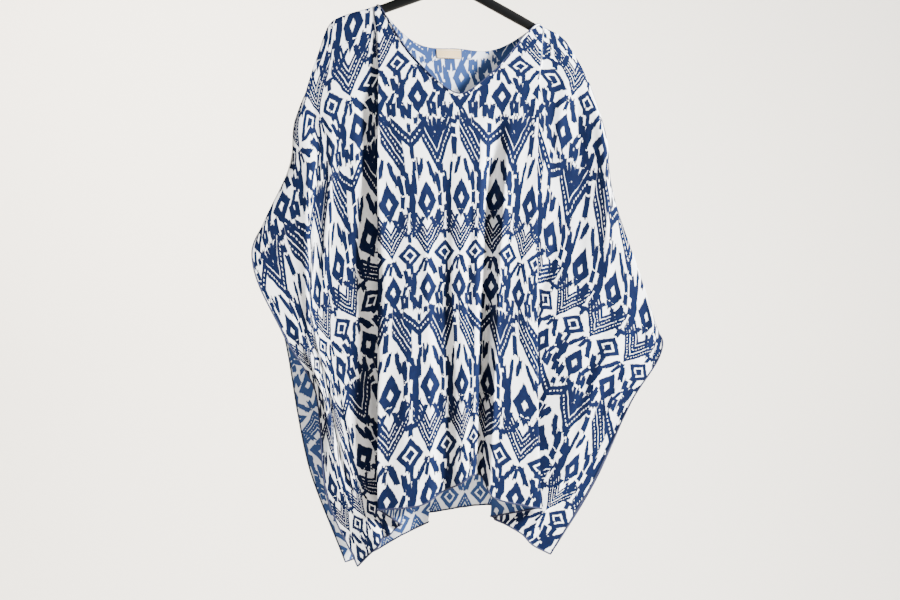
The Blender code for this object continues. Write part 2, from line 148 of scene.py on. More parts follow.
FRONT_LINES = (
    FoldLine("left side edge", 0, 0, (-490,) * 7,
        (-232, -288, -337, -286, -230, -217, -163),
        (376, 430, 517, 648, 756, 896, 1031),
        (-3, -3, -14, -20, -16, -24, -20)),
    FoldLine("left wing", 4, 0, (-409, -412, -416, -443, -452, -434, -438),
        (-243, -273, -304, -260, -220, -194, -143),
        (297, 372, 455, 637, 749, 886, 1010),
        (-3.5, -5, -14, -18, -23, -27, -26)),
    FoldLine("left ridge", 3, 0,
        (-346, -346, -350, -388, -409, -396, -400),
        (-237, -271, -252, -242, -214, -182, -128),
        (234, 320, 412, 610, 734, 874, 995),
        (-3, -9, -17, -19.5, -23, -27, -30)),
    FoldLine("left crease", 3, 0,
        (-277, -298, -320, -358, -390, -380, -378),
        (-226, -258, -238, -241, -211, -179, -122),
        (184, 295, 385, 592, 727, 868, 985),
        (-3.5, -12, -16, -19, -22.5, -26, -29)),
    FoldLine("left crease, inner", 2, 0,
        (-263, -284, -302, -322, -342, -347, -353),
        (-221, -248, -229, -229, -199, -169, -110),
        (160, 266, 365, 575, 713, 857, 978),
        (-3.5, -10.5, -11.5, -13, -18, -22.5, -26)),
    FoldLine("left wing, inner", 4, 0,
        (-235, -228, -228, -228, -256, -298, -339),
        (-208, -216, -194, -179, -146, -136, -101),
        (142, 244, 343, 520, 667, 825, 969),
        (-5, -9, -10.5, -11, -15, -18, -22)),
    FoldLine("left tuck", 4, 1,
        (-159, -145, -135, -152, -194, -235, -298),
        (-142, -134, -118, -115, -88, -54, -92),
        (114, 198, 280, 465, 614, 784, 964),
        (-8, -9.5, -10.5, -14.5, -18, -22, -26.5)),
    FoldLine("left body edge", 3, 1,
        (-121, -119, -118, -138, -149, -138, -131),
        (-135, -130, -130, -131, -130, -130, -130),
        (111, 188, 269, 439, 591, 751, 940),
        (-9.5, -13.5, -15.5, -19.5, -25, -30, -35.5)),
    FoldLine("left body", 3, 0, (-69,) * 7,
        (-87, -87, -85, -68, -65, -62, -65),
        (94, 175, 266, 434, 578, 726, 934),
        (-10, -14, -17, -24, -31, -38, -45)),
    FoldLine("left of centre", 3, 0, (-14,) * 7,
        (-35, -32, -31, -21, -21, -17, -19),
        (76, 165, 264, 429, 573, 723, 908),
        (-10, -14, -17, -20, -24, -29, -34)),
    FoldLine("centre", 2, 0, (21,) * 7,
        (-1, 2, 4, 6, 2, 7, 6),
        (64, 158, 262, 426, 573, 723, 896),
        (-10, -14, -17, -24, -32, -39, -45)),
    FoldLine("right of centre", 3, 0, (63,) * 7,
        (37, 40, 45, 39, 32, 32, 27),
        (84, 170, 266, 427, 573, 721, 883),
        (-10, -14, -17, -22, -27, -33, -38)),
    FoldLine("recess", 2, 0, (90,) * 7,
        (65, 68, 73, 60, 55, 49, 40),
        (99, 180, 267, 429, 574, 723, 888),
        (-10, -14, -16, -16, -18, -24, -27)),
    FoldLine("right body", 2, 0, (118,) * 7,
        (92, 95, 98, 87, 73, 68, 57),
        (114, 186, 266, 432, 579, 739, 919),
        (-10, -14, -17, -23, -30, -37, -43)),
    FoldLine("right body edge", 3, -1,
        (163, 156, 153, 177, 208, 180, 208),
        (138, 136, 133, 130, 130, 131, 136),
        (140, 195, 257, 446, 597, 766, 937),
        (-9.5, -13.5, -15.5, -19.5, -25, -30, -35.5)),
    FoldLine("right tuck", 3, -1,
        (191, 180, 173, 187, 236, 270, 312),
        (145, 140, 130, 126, 116, 60, 54),
        (144, 198, 271, 452, 620, 789, 952),
        (-8, -9.5, -10.5, -13.5, -14.5, -15, -17)),
    FoldLine("right wing, inner", 4, 0,
        (229, 229, 229, 250, 298, 354, 381),
        (172, 193, 173, 167, 139, 120, 78),
        (157, 226, 322, 513, 660, 808, 965),
        (-7, -10, -9, -10.5, -12, -15, -17)),
    FoldLine("right wing", 4, 0,
        (270, 298, 326, 361, 381, 409, 423),
        (190, 224, 248, 250, 202, 174, 105),
        (193, 259, 363, 573, 703, 850, 978),
        (-3.5, -7, -17, -18, -20, -23, -24)),
    FoldLine("right ridge", 4, 0,
        (381, 381, 388, 444, 444, 451, 461),
        (153, 177, 245, 314, 250, 199, 121),
        (295, 343, 422, 624, 739, 868, 995),
        (-3, -4, -8, -16, -19, -21, -20)),
    FoldLine("right side edge", 4, 0, (490,) * 7,
        (128, 153, 202, 336, 283, 222, 151),
        (396, 482, 574, 663, 762, 891, 1010),
        (-3, -3, -3, -16, -20, -16, -24)),
)

BACK_LINES = (
    FoldLine("left side edge", 0, 0, (-490,) * 7,
        (-232, -286, -333, -288, -266, -250, -186),
        (376, 430, 519, 652, 776, 861, 1031),
        (3, 3, 12, 18, 14, 22, 18)),
    FoldLine("left wing", 4, 0,
        (-409, -424, -422, -447, -440, -440, -431),
        (-243, -270, -296, -257, -224, -194, -141),
        (297, 372, 457, 624, 746, 874, 1016),
        (3, 5, 15, 19, 24, 26, 32)),
    FoldLine("left wing, middle", 3, 0,
        (-283, -332, -340, -368, -380, -391, -388),
        (-225, -254, -237, -210, -182, -154, -112),
        (186, 290, 394, 564, 701, 834, 999),
        (3.5, 9.5, 14.5, 16, 18, 22, 27)),
    FoldLine("left wing, inner", 3, 0,
        (-235, -269, -286, -325, -347, -363, -364),
        (-208, -215, -204, -184, -158, -131, -95),
        (142, 247, 348, 531, 676, 812, 990),
        (6, 8, 9.5, 12, 16, 20, 24)),
    FoldLine("left tuck", 4, -1,
        (-159, -157, -165, -190, -230, -270, -300),
        (-142, -126, -98, -78, -54, -29, -49),
        (116, 196, 277, 454, 614, 776, 969),
        (8, 9.5, 11.5, 16.5, 22, 26, 31)),
    FoldLine("left body edge", 3, -1,
        (-121, -121, -121, -135, -150, -160, -170),
        (-135, -120, -111, -106, -103, -101, -105),
        (111, 191, 271, 437, 597, 756, 959),
        (9.5, 13.5, 16.5, 22, 28.5, 34, 40)),
    FoldLine("left body", 3, 0, (-60,) * 7,
        (-82, -67, -52, -49, -49, -45, -45),
        (92, 178, 267, 434, 594, 751, 957),
        (10, 15, 19, 27, 34, 42, 50)),
    FoldLine("centre", 4, 0, (10,) * 7,
        (-9, -4, -2, 1, 1, 4, 4),
        (66, 162, 269, 434, 594, 751, 947),
        (10, 15, 17, 20, 26, 32, 38)),
    FoldLine("right body", 4, 0, (80,) * 7,
        (54, 57, 60, 57, 54, 57, 54),
        (92, 177, 271, 437, 599, 756, 944),
        (10, 15, 19, 27, 35, 43, 50)),
    FoldLine("right body edge", 3, 1,
        (163, 155, 150, 155, 165, 170, 180),
        (138, 127, 116, 110, 106, 103, 100),
        (140, 205, 277, 449, 607, 766, 957),
        (9.5, 13.5, 16.5, 22, 28.5, 34, 40)),
    FoldLine("right tuck", 3, 1,
        (191, 184, 180, 195, 225, 260, 290),
        (145, 132, 106, 90, 70, 50, 62),
        (144, 214, 290, 462, 624, 789, 964),
        (8, 9.5, 11.5, 16.5, 22, 26, 31)),
    FoldLine("right wing, inner", 4, 0,
        (229, 229, 232, 250, 285, 320, 345),
        (172, 182, 169, 169, 156, 136, 106),
        (157, 228, 318, 507, 657, 805, 983),
        (7, 8, 9.5, 12, 16, 20, 24)),
    FoldLine("right wing, middle", 3, 0,
        (270, 290, 305, 320, 345, 370, 388),
        (190, 205, 200, 229, 199, 167, 124),
        (193, 262, 364, 552, 692, 835, 992),
        (3.5, 9, 15, 16.5, 19, 22, 28)),
    FoldLine("right wing", 3, 0,
        (381, 381, 388, 405, 415, 430, 440),
        (153, 179, 235, 301, 250, 205, 146),
        (295, 343, 416, 607, 734, 871, 1003),
        (3, 2.5, 10, 18, 22, 24, 30)),
    FoldLine("right side edge", 4, 0, (490,) * 7,
        (128, 153, 202, 331, 288, 229, 163),
        (396, 482, 574, 665, 762, 894, 1006),
        (3, 3, 3, 12, 20, 16, 26)),
)


class Roughness(float, Enum):
    """How rough each kind of surface is."""

    VOILE = 0.82
    THREAD = 0.75
    TAPE = 0.6
    PLASTIC = 0.42
    WALL = 0.95


# A fixed colour or a socket that gives one
Colour = tuple | bpy.types.NodeSocket


def linear(colour: str) -> tuple[float, float, float, float]:
    """Turns a colour written as sRGB hex into Blender's linear values.

    Args:
        colour: Six hex digits after a hash.

    Returns:
        Linear red, green, blue and an alpha of one.
    """
    parts = [int(colour[i : i + 2], 16) / 255.0 for i in (1, 3, 5)]
    values = [c / 12.92 if c <= 0.04045 else ((c + 0.055) / 1.055) ** 2.4 for c in parts]
    return (values[0], values[1], values[2], 1.0)


def add_node(
    tree: bpy.types.NodeTree, kind: str, inputs: dict | None = None, **settings
) -> bpy.types.Node:
    """Adds one shader node with its settings, and sets or links its inputs.

    Args:
        tree: The node tree.
        kind: The node's type.
        inputs: A value or an output socket for each named or numbered input.
        settings: Properties of the node.

    Returns:
        The node.
    """
    node = tree.nodes.new(kind)
    for name, value in settings.items():
        setattr(node, name, value)
    for name, value in (inputs or {}).items():
        if isinstance(value, bpy.types.NodeSocket):
            tree.links.new(value, node.inputs[name])
        else:
            node.inputs[name].default_value = value
    return node


class Term:
    """A number in a shader: a socket that Python's operators turn into Math nodes."""

    def __init__(self, tree: bpy.types.NodeTree, socket: bpy.types.NodeSocket) -> None:
        """Holds the socket and the tree that it is in."""
        self.tree = tree
        self.socket = socket

    def _math(self, operation: str, *others: "Term | float", clamp: bool = False) -> "Term":
        """Adds one Math node.

        Args:
            operation: Blender's name of the operation.
            others: The values after this one.
            clamp: Whether the result is kept between nought and one.

        Returns:
            The result.
        """
        values = [self.socket] + [o.socket if isinstance(o, Term) else float(o) for o in others]
        node = add_node(self.tree, "ShaderNodeMath", dict(enumerate(values)), operation=operation)
        node.use_clamp = clamp
        return Term(self.tree, node.outputs[0])

    def __add__(self, other: "Term | float") -> "Term":
        """The sum."""
        return self._math("ADD", other)

    def __sub__(self, other: "Term | float") -> "Term":
        """The difference."""
        return self._math("SUBTRACT", other)

    def __mul__(self, other: "Term | float") -> "Term":
        """The product."""
        return self._math("MULTIPLY", other)

    def __truediv__(self, other: "Term | float") -> "Term":
        """The quotient."""
        return self._math("DIVIDE", other)

    def size(self) -> "Term":
        """The value without its sign."""
        return self._math("ABSOLUTE")

    def part(self) -> "Term":
        """What is left over the whole number below."""
        return self._math("FRACT")

    def floor(self) -> "Term":
        """The whole number below."""
        return self._math("FLOOR")

    def either(self, other: "Term") -> "Term":
        """The larger of the two, which joins two masks."""
        return self._math("MAXIMUM", other)

    def both(self, other: "Term") -> "Term":
        """The smaller of the two, where two masks overlap."""
        return self._math("MINIMUM", other)

    def below(self, limit: "Term | float", soft: float) -> "Term":
        """One where the value is below the limit and nought above, over a soft edge.

        Args:
            limit: Where the mask is a half.
            soft: The width of the edge.

        Returns:
            The mask.
        """
        gap = Term(self.tree, add_node(self.tree, "ShaderNodeValue").outputs[0])
        gap.socket.default_value = 0.5
        step = (self - limit)._math("DIVIDE", -soft)
        return step._math("ADD", gap, clamp=True)


@dataclass(frozen=True)
class Finish:
    """A finish of one colour: its name, its colour, and how rough and how shiny it is."""

    name: str
    colour: str
    roughness: float
    shine: float = 0.5
    grain: float = 0.0
    grain_size: float = 400.0

    def material(self) -> bpy.types.Material:
        """Builds the material, with a fine grain in its surface where it has one.

        Returns:
            The material.
        """
        material = bpy.data.materials.new(self.name)
        material.use_nodes = True
        tree = material.node_tree
        tree.nodes.clear()
        shader = add_node(
            tree,
            "ShaderNodeBsdfPrincipled",
            {
                "Base Color": linear(self.colour),
                "Roughness": self.roughness,
                "Specular IOR Level": self.shine,
            },
        )
        if self.grain:
            place = add_node(tree, "ShaderNodeTexCoord").outputs["Object"]
            noise = add_node(
                tree, "ShaderNodeTexNoise", {"Vector": place, "Scale": self.grain_size, "Detail": 3.0}
            )
            bump = add_node(
                tree,
                "ShaderNodeBump",
                {"Height": noise.outputs[0], "Strength": self.grain, "Distance": 0.0005},
            )
            tree.links.new(bump.outputs[0], shader.inputs["Normal"])
        output = add_node(tree, "ShaderNodeOutputMaterial")
        tree.links.new(shader.outputs[0], output.inputs["Surface"])
        return material


@dataclass(frozen=True)
class Stroke:
    """A brushed bar of the print. across is its place from a column's middle and top its distance
    down the repeat; lean is how far it moves across for each millimetre down."""

    across: float
    width: float
    top: float
    bottom: float
    lean: float = 0.0
    taper: float = 0.0


# across, width, top, bottom, lean, taper
STROKES = tuple(starmap(Stroke, (
    (-27.5, 13, 107, 146, -0.1, 0.5),
    (-31, 5.5, 92, 112),
    (30, 6, 82, 97),
    (-15, 7.5, 83, 113, -0.6),
    (9, 9.5, 83, 113, 0.45),
    (27, 8.5, 101, 124, 0.2),
    (23, 6.5, 128, 149, -0.35),
    (17.5, 6.5, 145, 167, 0.1),
    (26.5, 7, 146, 167),
    (22, 14, 157, 165),
    (-28, 7, 149, 170),
    (-22.5, 6.5, 149, 171, 0.45),
    (-16, 7, 148, 172, -0.1),
    (36.5, 8.5, 136, 156),
    (6, 13, 167, 173.5),
    (-6, 7.5, 168, 178),
    (-20, 6, 236, 262, -0.15, 0.5),
    (-7, 8, 232, 259, -0.3, 0.4),
    (12, 8.5, 236, 270, 0.3, 0.45),
    (23, 9, 254, 285, 0.1, 0.4),
    (-27, 12.5, 266, 332, 0.03, 0.6),
    (-31, 4.5, 252, 280, 0.15),
    (-23, 4.5, 258, 284, -0.1),
    (-24, 6, 318, 345, -0.2),
    (30.5, 6, 240, 256),
    (42, 6, 288, 303),
    (25, 7, 288, 307),
    (21.5, 14, 312, 341, 0, 0.6),
    (35.5, 8.5, 262, 286),
    (36.5, 8.5, 306, 330),
    (34.6, 24, 33, 40),
    (34.6, 6.5, 40, 50),
    (-4, 5.5, 88, 106, -0.2),
    (-36.5, 7, 113, 131),
    (12, 6.5, 8, 30, 0.5),
    (-13, 6.5, 8, 32, -0.5),
)))


@dataclass(frozen=True)
class Chain:
    """A zigzag band of rope that comes down to a point, with a plain line above it.

    period is how far apart such bands stand, place where the point is across and point how far down
    the repeat. rise is how steeply its arms climb, left and right how far they reach. rope is the
    width of a rope, link the length of its links, ropes how many lie side by side, and line the
    width of the plain line above them.
    """

    period: float
    place: float
    point: float
    rise: float
    left: float
    right: float
    rope: float
    link: float
    ropes: int
    line: float


CHAINS = (
    Chain(COLUMN_PITCH, 0.0, 78.0, 1.6, 32.5, 32.5, 8.2, 5.2, 2, 3.0),
    Chain(2.0 * COLUMN_PITCH, -44.0, 252.0, 2.0, 25.0, 29.0, 12.5, 6.2, 1, 4.2),
    Chain(2.0 * COLUMN_PITCH, 50.0, 217.0, 0.95, 31.0, 27.0, 14.0, 6.6, 1, 0.0),
    Chain(2.0 * COLUMN_PITCH, 34.0, 262.0, 1.6, 36.0, 2.0, 11.0, 6.2, 2, 4.2),
)
# Solid fans and bars that belong to the wide zigzag, set out over two columns
WIDE_STROKES = tuple(starmap(Stroke, (
    (-44, 6, 172, 192),
    (-56, 8, 172, 199, 0.42, 0.3),
    (-50, 5, 172, 196, 0.2),
    (-38, 6.5, 172, 197, -0.2),
    (-31, 9.5, 172, 199, -0.45, 0.3),
    (-44, 13, 195, 212, 0, 0.7),
    (-12, 9, 174.5, 182),
    (-12.5, 7, 187.5, 198),
    (-12, 9, 202, 229),
    (50, 7, 215, 231),
    (51, 6.5, 235, 250),
    (48, 7.5, 255, 284),
    (57.5, 2.5, 230, 262),
    (50, 6.5, 180, 193),
    (14, 9, 174, 183),
    (29, 7, 236, 254),
)))


@dataclass(frozen=True)
class Diamond:
    """A diamond ring of the print: its middle down the repeat, its half sizes, and how far out its
    blue starts and ends, where one is on its outline."""

    middle: float
    half_width: float
    half_height: float
    hole: float
    outer: float


LEAF = Diamond(136.0, 17.5, 28.0, 0.29, 1.04)
LONG_LEAF = Diamond(298.0, 18.5, 33.0, 0.26, 1.04)
EYE = Diamond(75.0, 22.0, 22.0, 0.56, 1.06)
EYE_CENTRE = 0.38
DIAMOND_EDGE = 0.07


class IkatPrint:
    """The printed voile: blue and navy diamonds, braids and brush strokes on a white ground.

    The pattern is reckoned in millimetres on the flat cloth, from the UV map: columns of diamonds
    69.3 mm apart, and a repeat of 317 mm down the cloth. The threads shift each motif's edge up or
    down, as in an ikat weave.
    """

    GROUND = "#F8F7F6"
    BLUE = "#07173A"
    DEEP_BLUE = "#050D26"
    PALE_GROUND = "#DFE3EA"
    PALE_BLUE = "#30446F"

    def __init__(self, name: str) -> None:
        """Starts the material of this name with an empty tree."""
        self.material = bpy.data.materials.new(name)
        self.material.use_nodes = True
        self.tree = self.material.node_tree
        self.tree.nodes.clear()

    def term(self, socket: bpy.types.NodeSocket) -> Term:
        """Wraps a socket so that it can be reckoned with."""
        return Term(self.tree, socket)

    def noise(self, x: Term, y: Term, scale: float, detail: float = 1.0) -> Term:
        """Smooth noise around nought at a place on the cloth.

        Args:
            x: The place across, in millimetres.
            y: The place down, in millimetres.
            scale: How fine the noise is, for each millimetre.
            detail: How many finer noises are added to it.

        Returns:
            The noise, from about minus a half to a half.
        """
        place = add_node(self.tree, "ShaderNodeCombineXYZ", {"X": x.socket, "Y": y.socket})
        node = add_node(
            self.tree,
            "ShaderNodeTexNoise",
            {"Vector": place.outputs[0], "Scale": scale, "Detail": detail},
        )
        return self.term(node.outputs[0]) - 0.5

    def out(self, x: Term, y: Term, shape: Diamond) -> Term:
        """How far out a place is in a diamond: nought at its middle and one on its outline."""
        return x.size() / shape.half_width + (y - shape.middle).size() / shape.half_height

    def ring(self, out: Term, shape: Diamond) -> Term:
        """The mask of a diamond's blue ring, from how far out a place is."""
        whole = out.below(shape.outer, DIAMOND_EDGE)
        return whole.both((out * -1.0).below(-shape.hole, DIAMOND_EDGE))

    def stroke(self, x: Term, y: Term, bar: Stroke) -> Term:
        """The mask of one brushed bar, narrower to its ends where it tapers.

        Args:
            x: The place across, from the column's middle.
            y: The place down the repeat.
            bar: The bar.

        Returns:
            The mask.
        """
        middle = 0.5 * (bar.top + bar.bottom)
        half = 0.5 * (bar.bottom - bar.top)
        down = y - middle
        side = (x - bar.across - down * bar.lean).size()
        if bar.taper:
            side = side + down.size() * (0.5 * bar.width * bar.taper / half)
        side = side.below(0.5 * bar.width + INK_SPREAD, 0.7)
        return side.both(down.size().below(half + INK_SPREAD, 1.0))

    def chain(self, u: Term, y: Term, band: Chain) -> Term:
        """The mask of a zigzag band: ropes of blue with a row of white links, then a plain line.

        height is measured square to the arm, from its lower edge, and along is measured up the arm.

        Args:
            u: The place across the cloth, from the neck's middle.
            y: The place down the repeat.
            band: The band.

        Returns:
            The mask.
        """
        x = ((u - band.place) / band.period + 0.5).part() * band.period - 0.5 * band.period
        out = x.size()
        slant = math.hypot(1.0, band.rise)
        height = (y * -1.0 + band.point - out * band.rise) / slant
        along = (out * slant + height * (0.35 * slant)) / band.link
        open_link = along.part().below(0.42, 0.12)
        mask = None
        for rope in range(band.ropes):
            middle = (rope + 0.5) * band.rope + rope * ROPE_GAP
            away = (height - middle).size()
            white = away.below(0.06 * band.rope, 0.5).both(open_link)
            blue = away.below(0.5 * band.rope + INK_SPREAD, 0.6).both(white * -1.0 + 1.0)
            mask = blue if mask is None else mask.either(blue)
        if band.line:
            middle = band.ropes * (band.rope + ROPE_GAP) + 0.5 * band.line
            mask = mask.either((height - middle).size().below(0.5 * band.line + INK_SPREAD, 0.6))
        inside = (x * -1.0).below(band.left, 1.5).both(x.below(band.right, 1.5))
        return mask.both(inside)

    def pattern(self) -> tuple[Term, Term, Term]:
        """The mask of the blue print and the place on the cloth.

        Returns:
            The mask, and the place across and down, in millimetres.
        """
        uv = add_node(self.tree, "ShaderNodeUVMap", uv_map="cloth")
        split = add_node(self.tree, "ShaderNodeSeparateXYZ", {"Vector": uv.outputs[0]})
        across = self.term(split.outputs["X"]) * 1000.0
        down = self.term(split.outputs["Y"]) * 1000.0
        thread = (across / THREAD_GROUP).floor()
        shift = self.noise(thread * 7.31, (down / SHIFT_RUN).floor() * 3.7, 1.0)
        wander = self.noise(across, down, 0.035, 2.0)
        sway = self.noise(across + 400.0, down, 0.05, 2.0)
        ragged, neat = (
            ((down + shift * reach + wander * WANDER) / REPEAT_HEIGHT + 1.0).part() * REPEAT_HEIGHT
            for reach in (RAGGED_SHIFT, NEAT_SHIFT)
        )
        u = across - NECK_CENTRE + sway * SWAY
        x = ((u / COLUMN_PITCH + 0.5).part() - 0.5) * COLUMN_PITCH
        h = ((u / COLUMN_PITCH).part() - 0.5) * COLUMN_PITCH
        wide = ((u / (2.0 * COLUMN_PITCH) + 0.5).part() - 0.5) * (2.0 * COLUMN_PITCH)

        y = neat * 0.6 + ragged * 0.4
        blue = self.ring(self.out(x, y, LEAF), LEAF)
        for shape in (LONG_LEAF, replace(LONG_LEAF, middle=LONG_LEAF.middle - REPEAT_HEIGHT)):
            blue = blue.either(self.ring(self.out(x, y, shape), shape))
        eye = self.out(h, neat, EYE)
        blue = blue.either(self.ring(eye, EYE)).either(eye.below(EYE_CENTRE, DIAMOND_EDGE))
        for band in CHAINS:
            blue = blue.either(self.chain(u, neat, band))
        for bar in WIDE_STROKES:
            blue = blue.either(self.stroke(wide, ragged, bar))
        for bar in STROKES:
            places = [(0.0, 0.0)]
            if bar.across + 0.5 * bar.width > 33.0:
                places.append((COLUMN_PITCH, 0.0))
            if bar.across - 0.5 * bar.width < -33.0:
                places.append((-COLUMN_PITCH, 0.0))
            if bar.bottom > REPEAT_HEIGHT:
                places.append((0.0, REPEAT_HEIGHT))
            for lap, rise in places:
                moved = replace(
                    bar, across=bar.across - lap, top=bar.top - rise, bottom=bar.bottom - rise
                )
                blue = blue.either(self.stroke(x, ragged, moved))
        return blue, across, down

    def mix(
        self, share: bpy.types.NodeSocket, first: Colour, second: Colour
    ) -> bpy.types.NodeSocket:
        """Mixes two colours.

        Args:
            share: How much of the second colour there is.
            first: The first colour.
            second: The second colour.

        Returns:
            The mixed colour.
        """
        inputs = {"Factor": share, 6: first, 7: second}
        return add_node(self.tree, "ShaderNodeMix", inputs, data_type="RGBA").outputs[2]

    def build(self) -> bpy.types.Material:
        """Colours the pattern, paler on the cloth's wrong side, and lets light through the voile.

        Returns:
            The material.
        """
        blue, across, down = self.pattern()
        tone = self.noise(across, down, 0.11, 3.0) + 0.5
        geometry = add_node(self.tree, "ShaderNodeNewGeometry")
        sides = []
        for ground, light, dark in (
            (self.GROUND, self.BLUE, self.DEEP_BLUE),
            (self.PALE_GROUND, self.PALE_BLUE, self.PALE_BLUE),
        ):
            ink = self.mix(tone.socket, linear(dark), linear(light))
            sides.append(self.mix(blue.socket, linear(ground), ink))
        colour = self.mix(geometry.outputs["Backfacing"], *sides)
        weave = self.noise(across, down, 1.3, 2.0)
        slub = self.noise(across * 0.12, down, 0.5, 2.0)
        bump = add_node(
            self.tree,
            "ShaderNodeBump",
            {"Height": (weave + slub).socket, "Strength": 0.35, "Distance": 0.0006},
        )
        shader = add_node(
            self.tree,
            "ShaderNodeBsdfPrincipled",
            {
                "Base Color": colour,
                "Roughness": Roughness.VOILE.value,
                "Specular IOR Level": 0.1,
                "Normal": bump.outputs[0],
            },
        )
        through = add_node(
            self.tree,
            "ShaderNodeBsdfTranslucent",
            {"Color": colour, "Normal": bump.outputs[0]},
        )
        cloth = add_node(
            self.tree,
            "ShaderNodeMixShader",
            {0: 0.14, 1: shader.outputs[0], 2: through.outputs[0]},
        )
        output = add_node(self.tree, "ShaderNodeOutputMaterial")
        self.tree.links.new(cloth.outputs[0], output.inputs["Surface"])
        return self.material


def monotone(knots: np.ndarray, values: np.ndarray, at: np.ndarray) -> np.ndarray:
    """A smooth curve through the values with no overshoot.

    It is made of cubic pieces. The slope at a knot is the harmonic mean of the slopes on its two
    sides, and nought where the values turn.

    Args:
        knots: The places of the values, in order.
        values: The values, with the knots along the last axis.
        at: Where to read the curve.

    Returns:
        The curve's values at those places, on the last axis.
    """
    knots = np.asarray(knots, float)
    values = np.asarray(values, float)
    steps = np.diff(knots)
    rises = np.diff(values, axis=-1) / steps
    before, after = rises[..., :-1], rises[..., 1:]
    same_way = before * after > 0
    total = np.where(same_way, before + after, 1.0)
    inner = np.where(same_way, 2.0 * before * after / total, 0.0)
    slopes = np.concatenate([rises[..., :1], inner, rises[..., -1:]], axis=-1)
    at = np.clip(np.asarray(at, float), knots[0], knots[-1])
    piece = np.clip(np.searchsorted(knots, at, side="right") - 1, 0, len(steps) - 1)
    width = steps[piece]
    t = (at - knots[piece]) / width
    start, end = values[..., piece], values[..., piece + 1]
    leave, arrive = slopes[..., piece] * width, slopes[..., piece + 1] * width
    return (
        (2 * t**3 - 3 * t**2 + 1) * start
        + (t**3 - 2 * t**2 + t) * leave
        + (3 * t**2 - 2 * t**3) * end
        + (t**3 - t**2) * arrive
    )


def arm_top(x: np.ndarray) -> np.ndarray:
    """How far below the hook the cloth lies on the leaning arms: two straight slopes that meet.

    Args:
        x: Places to the right of the hook.

    Returns:
        The distance down at each place.
    """
    meet_x = -ARM_MEET_DROP * math.sin(LEAN)
    meet_down = ARM_MEET_DROP * math.cos(LEAN)
    slope = ARM_SLOPE + np.where(x > meet_x, LEAN, -LEAN)
    seat = (0.5 * ARM_HEIGHT + ARM_CLEARANCE) / np.cos(slope)
    return meet_down + np.abs(x - meet_x) * np.tan(slope) - seat


def mesh_object(
    name: str, points: np.ndarray, faces: np.ndarray, material: bpy.types.Material
) -> bpy.types.Object:
    """Makes an object of these points, in millimetres, and faces of three or four corners.

    Args:
        name: The object's name.
        points: The points, one a row.
        faces: The corners of each face.
        material: The material it is made of.

    Returns:
        The object, in the scene, at the origin.
    """
    corners = faces.shape[1]
    mesh = bpy.data.meshes.new(name)
    mesh.vertices.add(len(points))
    mesh.vertices.foreach_set("co", (np.asarray(points) * MM).astype(np.float32).ravel())
    mesh.loops.add(faces.size)
    mesh.loops.foreach_set("vertex_index", faces.astype(np.int32).ravel())
    mesh.polygons.add(len(faces))
    mesh.polygons.foreach_set("loop_start", np.arange(0, faces.size, corners, dtype=np.int32))
    mesh.update(calc_edges=True)
    mesh.validate()
    mesh.shade_smooth()
    mesh.materials.append(material)
    obj = bpy.data.objects.new(name, mesh)
    bpy.context.scene.collection.objects.link(obj)
    return obj


def grid_faces(rows: int, columns: int, flip: bool) -> np.ndarray:
    """The faces of a grid of points.

    Args:
        rows: How many rows of points there are.
        columns: How many points a row has.
        flip: Whether the faces turn the other way.

    Returns:
        The four corners of each face.
    """
    index = np.arange(rows * columns).reshape(rows, columns)
    corners = [index[:-1, :-1], index[1:, :-1], index[1:, 1:], index[:-1, 1:]]
    if flip:
        corners.reverse()
    return np.stack([c.ravel() for c in corners], axis=1)


def ring_faces(rings: int, sides: int) -> np.ndarray:
    """The faces between closed rings of points.

    Args:
        rings: How many rings there are.
        sides: How many points a ring has.

    Returns:
        The four corners of each face.
    """
    index = np.arange(rings * sides).reshape(rings, sides)
    turned = np.roll(index, -1, axis=1)
    corners = [index[:-1], turned[:-1], turned[1:], index[1:]]
    return np.stack([c.ravel() for c in corners], axis=1)


def set_uv(obj: bpy.types.Object, uv: np.ndarray) -> None:
    """Writes the flat cloth's coordinates, in metres, to the object's UV map.

    Args:
        obj: The object.
        uv: The place on the flat cloth of each of its points, in millimetres.
    """
    mesh = obj.data
    corner = np.zeros(len(mesh.loops), np.int32)
    mesh.loops.foreach_get("vertex_index", corner)
    layer = mesh.uv_layers.new(name="cloth")
    layer.data.foreach_set("uv", (uv.reshape(-1, 2) * MM).astype(np.float32)[corner].ravel())


def tube(
    name: str, path: np.ndarray, radius: float, material: bpy.types.Material, sides: int = 6
) -> bpy.types.Object:
    """A round cord along a path: a ring of points square to the path at each of its points.

    Args:
        name: The object's name.
        path: The path's points, in millimetres.
        radius: The cord's radius, in millimetres.
        material: The material it is made of.
        sides: How many points a ring has.

    Returns:
        The object.
    """
    way = np.gradient(path, axis=0)
    way /= np.linalg.norm(way, axis=1, keepdims=True) + 1e-9
    side = np.cross(way, [0.0, 1.0, 0.0])
    flat = np.linalg.norm(side, axis=1, keepdims=True)
    side = np.where(flat > 0.2, side / np.maximum(flat, 1e-9), [1.0, 0.0, 0.0])
    up = np.cross(side, way)
    up /= np.linalg.norm(up, axis=1, keepdims=True) + 1e-9
    angle = np.linspace(0.0, 2.0 * np.pi, sides, endpoint=False)
    rings = path[:, None] + radius * (
        side[:, None] * np.cos(angle)[None, :, None] + up[:, None] * np.sin(angle)[None, :, None]
    )
    return mesh_object(name, rings.reshape(-1, 3), ring_faces(len(path), sides), material)


@dataclass(frozen=True)
class Crease:
    """A soft ridge or trough in a panel. It runs from one place on the flat cloth to another; width
    is its half width on the cloth and rise how far it stands out, or in where it is negative."""

    thread_top: float
    down_top: float
    thread_end: float
    down_end: float
    width: float
    rise: float


